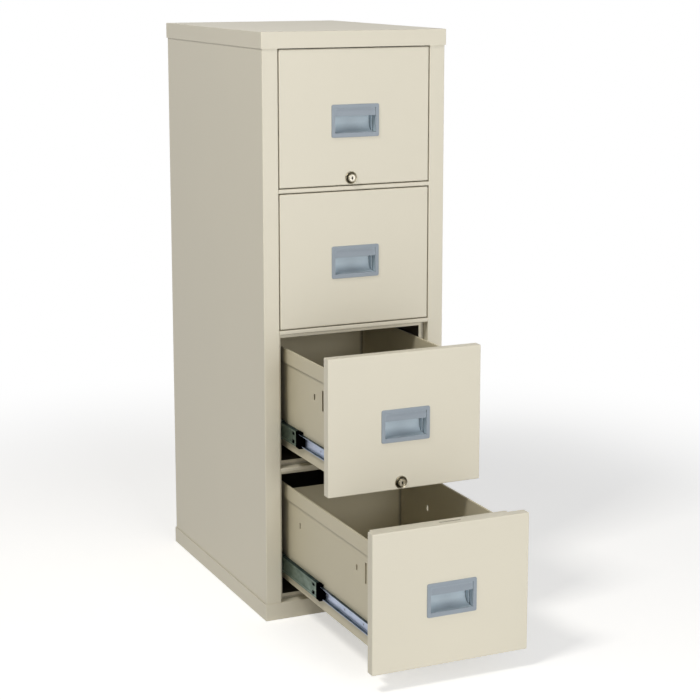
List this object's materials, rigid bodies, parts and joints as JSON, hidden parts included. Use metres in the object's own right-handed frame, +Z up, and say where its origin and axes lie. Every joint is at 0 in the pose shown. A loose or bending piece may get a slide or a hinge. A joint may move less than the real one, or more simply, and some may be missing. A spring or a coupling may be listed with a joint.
{
  "type": "fireproof filing cabinet",
  "caption": "Upright insulated steel filing cabinet with locking drawers on ball-bearing slides, the two lower drawers open.",
  "frame": {"origin": "centre of the base's underside, on the floor", "axes": "+X to the right seen from the front, +Y towards the back, +Z up; the drawers open along -Y"},
  "size_m": [0.4508, 1.1186, 1.3398],
  "materials": {
    "case_paint": "satin",
    "drawer_paint": "satin",
    "tray_paint": "satin",
    "liner_primer": "flat",
    "insulation": "matte",
    "slide_bright": "zinc plated",
    "slide_zinc": "galvanised",
    "retainer_plastic": "moulded",
    "pull_plastic": "moulded",
    "lock_plating": "plated",
    "lock_brass": "polished",
    "bolt_steel": "zinc plated"
  },
  "bodies": {
    "cabinet": {"left_side_panel": "case_paint", "right_side_panel": "case_paint", "back_panel": "case_paint", "top_cap": "case_paint", "base_pan": "case_paint", "header_rail": "case_paint", "divider_rails": "case_paint", "sill_rail": "case_paint", "insulation_left": "insulation", "insulation_right": "insulation", "insulation_back": "insulation", "insulation_top": "insulation", "insulation_bottom": "insulation", "insulation_dividers": "insulation", "compartment_liners": "liner_primer", "slide_outers": "slide_zinc"},
    "drawer_1": {"head_front_1": "drawer_paint", "head_core_1": "insulation", "head_back_1": "drawer_paint", "pull_1": "pull_plastic", "drawer_tray_1": "tray_paint", "tray_back_1": "tray_paint", "slide_inner_1": "slide_bright", "lock_cylinder_1": "lock_plating"},
    "slide_members_1": {"slide_middle_1": "slide_zinc", "slide_stop_1": "retainer_plastic"},
    "key_plug_1": {"lock_plug_1": "lock_brass", "lock_cam_1": "bolt_steel"},
    "bolt_1": {"lock_bolt_1": "bolt_steel"},
    "drawer_2": {"head_front_2": "drawer_paint", "head_core_2": "insulation", "head_back_2": "drawer_paint", "pull_2": "pull_plastic", "drawer_tray_2": "tray_paint", "tray_back_2": "tray_paint", "slide_inner_2": "slide_bright"},
    "slide_members_2": {"slide_middle_2": "slide_zinc", "slide_stop_2": "retainer_plastic"},
    "drawer_3": {"head_front_3": "drawer_paint", "head_core_3": "insulation", "head_back_3": "drawer_paint", "pull_3": "pull_plastic", "drawer_tray_3": "tray_paint", "tray_back_3": "tray_paint", "slide_inner_3": "slide_bright", "lock_cylinder_3": "lock_plating"},
    "slide_members_3": {"slide_middle_3": "slide_zinc", "slide_stop_3": "retainer_plastic"},
    "key_plug_3": {"lock_plug_3": "lock_brass", "lock_cam_3": "bolt_steel"},
    "bolt_3": {"lock_bolt_3": "bolt_steel"},
    "drawer_4": {"head_front_4": "drawer_paint", "head_core_4": "insulation", "head_back_4": "drawer_paint", "pull_4": "pull_plastic", "drawer_tray_4": "tray_paint", "tray_back_4": "tray_paint", "slide_inner_4": "slide_bright"},
    "slide_members_4": {"slide_middle_4": "slide_zinc", "slide_stop_4": "retainer_plastic"}
  },
  "joints": [
    {"name": "drawer_1_slide", "type": "slide", "parent": "cabinet", "child": "drawer_1", "axis": [0, -1, 0], "range_m": [0, 0.508]},
    {"name": "slide_members_1_slide", "type": "slide", "parent": "cabinet", "child": "slide_members_1", "axis": [0, -1, 0], "range_m": [0, 0.254]},
    {"name": "key_plug_1_turn", "type": "hinge", "parent": "drawer_1", "child": "key_plug_1", "pos_m": [-0.0105, -0.31507, 1.0128], "axis": [0, 1, 0], "range_deg": [0, 90]},
    {"name": "bolt_1_slide", "type": "slide", "parent": "drawer_1", "child": "bolt_1", "axis": [0, 0, -1], "range_m": [0, 0.018]},
    {"name": "drawer_2_slide", "type": "slide", "parent": "cabinet", "child": "drawer_2", "axis": [0, -1, 0], "range_m": [0, 0.508]},
    {"name": "slide_members_2_slide", "type": "slide", "parent": "cabinet", "child": "slide_members_2", "axis": [0, -1, 0], "range_m": [0, 0.254]},
    {"name": "drawer_3_slide", "type": "slide", "parent": "cabinet", "child": "drawer_3", "axis": [0, -1, 0], "range_m": [-0.262, 0.246]},
    {"name": "slide_members_3_slide", "type": "slide", "parent": "cabinet", "child": "slide_members_3", "axis": [0, -1, 0], "range_m": [-0.131, 0.123]},
    {"name": "key_plug_3_turn", "type": "hinge", "parent": "drawer_3", "child": "key_plug_3", "pos_m": [-0.0105, -0.57708, 0.3762], "axis": [0, 1, 0], "range_deg": [0, 90]},
    {"name": "bolt_3_slide", "type": "slide", "parent": "drawer_3", "child": "bolt_3", "axis": [0, 0, -1], "range_m": [0, 0.018]},
    {"name": "drawer_4_slide", "type": "slide", "parent": "cabinet", "child": "drawer_4", "axis": [0, -1, 0], "range_m": [-0.4834, 0.0246]},
    {"name": "slide_members_4_slide", "type": "slide", "parent": "cabinet", "child": "slide_members_4", "axis": [0, -1, 0], "range_m": [-0.2417, 0.0123]}
  ],
  "couplings": [
    {"joint": "slide_members_1_slide", "follows": "drawer_1_slide", "ratio": 0.5},
    {"joint": "bolt_1_slide", "follows": "key_plug_1_turn", "m_per_rad": 0.011459},
    {"joint": "slide_members_2_slide", "follows": "drawer_2_slide", "ratio": 0.5},
    {"joint": "slide_members_3_slide", "follows": "drawer_3_slide", "ratio": 0.5},
    {"joint": "bolt_3_slide", "follows": "key_plug_3_turn", "m_per_rad": 0.011459},
    {"joint": "slide_members_4_slide", "follows": "drawer_4_slide", "ratio": 0.5}
  ]
}
